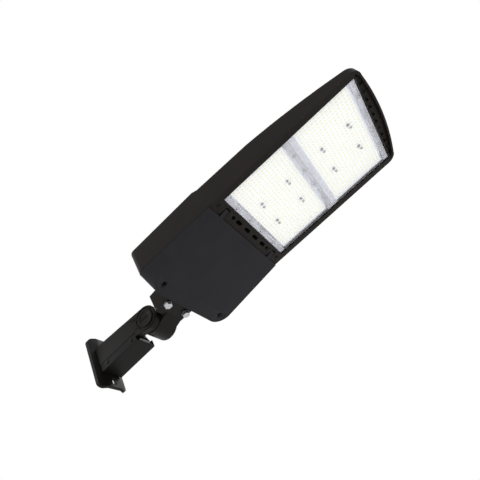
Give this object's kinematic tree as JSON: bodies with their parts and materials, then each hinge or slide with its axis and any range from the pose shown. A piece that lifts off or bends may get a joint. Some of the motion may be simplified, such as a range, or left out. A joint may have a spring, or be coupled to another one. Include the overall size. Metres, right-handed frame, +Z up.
{
  "type": "shoebox area light",
  "caption": "Flat finned area light for a pole: tilting arm mount, hinged driver cover and flush lamp modules behind clear lenses.",
  "frame": {"origin": "centre of the two bolt slots, on the back face of the pole plate's flat", "axes": "+X from the pole out to the light's tip, +Z up, Y across the light, which is alike on both sides"},
  "size_m": [0.897, 0.309, 0.146],
  "materials": {
    "arm_paint": "dark bronze powder coat on cast aluminium, fine texture",
    "housing_paint": "dark bronze powder coat, satin, fine texture",
    "cover_paint": "dark bronze powder coat, satin, on the driver cover",
    "lens": "clear acrylic with a frosted lens field",
    "silicone": "soft silicone, light grey",
    "dark_silicone": "soft silicone, black",
    "board": "white solder mask with yellow emitters",
    "zinc": "bright zinc plate",
    "stainless": "stainless steel",
    "dark_screw": "blackened steel",
    "rubber": "black rubber",
    "tray_steel": "zinc plated sheet",
    "driver_case": "bare aluminium case",
    "device_case": "black plastic case",
    "terminal_white": "white nylon",
    "gland_nylon": "black nylon",
    "brass": "bare brass",
    "lead_black": "black insulated wire",
    "lead_red": "red insulated wire"
  },
  "bodies": {
    "arm": {"pole_arm": "arm_paint", "arm_wiring_cover": "arm_paint", "arm_cover_screws": "dark_screw", "arm_wire_grommet": "rubber", "knuckle_bolt": "zinc", "knuckle_washers": "zinc", "knuckle_nut": "zinc", "knuckle_cap": "arm_paint"},
    "head": {"tilt_bracket": "arm_paint", "bracket_washers": "zinc", "bracket_bolts": "zinc", "housing": "housing_paint", "lens_inner": "lens", "lens_gasket_inner": "silicone", "led_board_inner": "board", "lens_outer": "lens", "lens_gasket_outer": "silicone", "led_board_outer": "board", "lens_end_screws": "stainless", "lens_post_screws": "stainless", "hinge_pins": "stainless", "corner_screws": "dark_screw", "driver_tray": "tray_steel", "tray_screws": "zinc", "led_driver": "driver_case", "driver_screws": "zinc", "surge_protector": "device_case", "terminal_block": "terminal_white", "cable_gland": "gland_nylon", "ground_screw": "brass", "supply_lead": "lead_black", "lamp_leads": "lead_red"},
    "door": {"driver_cover": "cover_paint", "cover_gasket": "dark_silicone", "cover_screws": "dark_screw"}
  },
  "joints": [
    {"name": "head_tilt", "type": "hinge", "parent": "arm", "child": "head", "pos_m": [0.166, 0, -0.002], "axis": [0, -1, 0], "range_deg": [-90, 90]},
    {"name": "cover_hinge", "type": "hinge", "parent": "head", "child": "door", "pos_m": [0.486, 0, 0.0025], "axis": [0, -1, 0], "range_deg": [0, 90]}
  ]
}
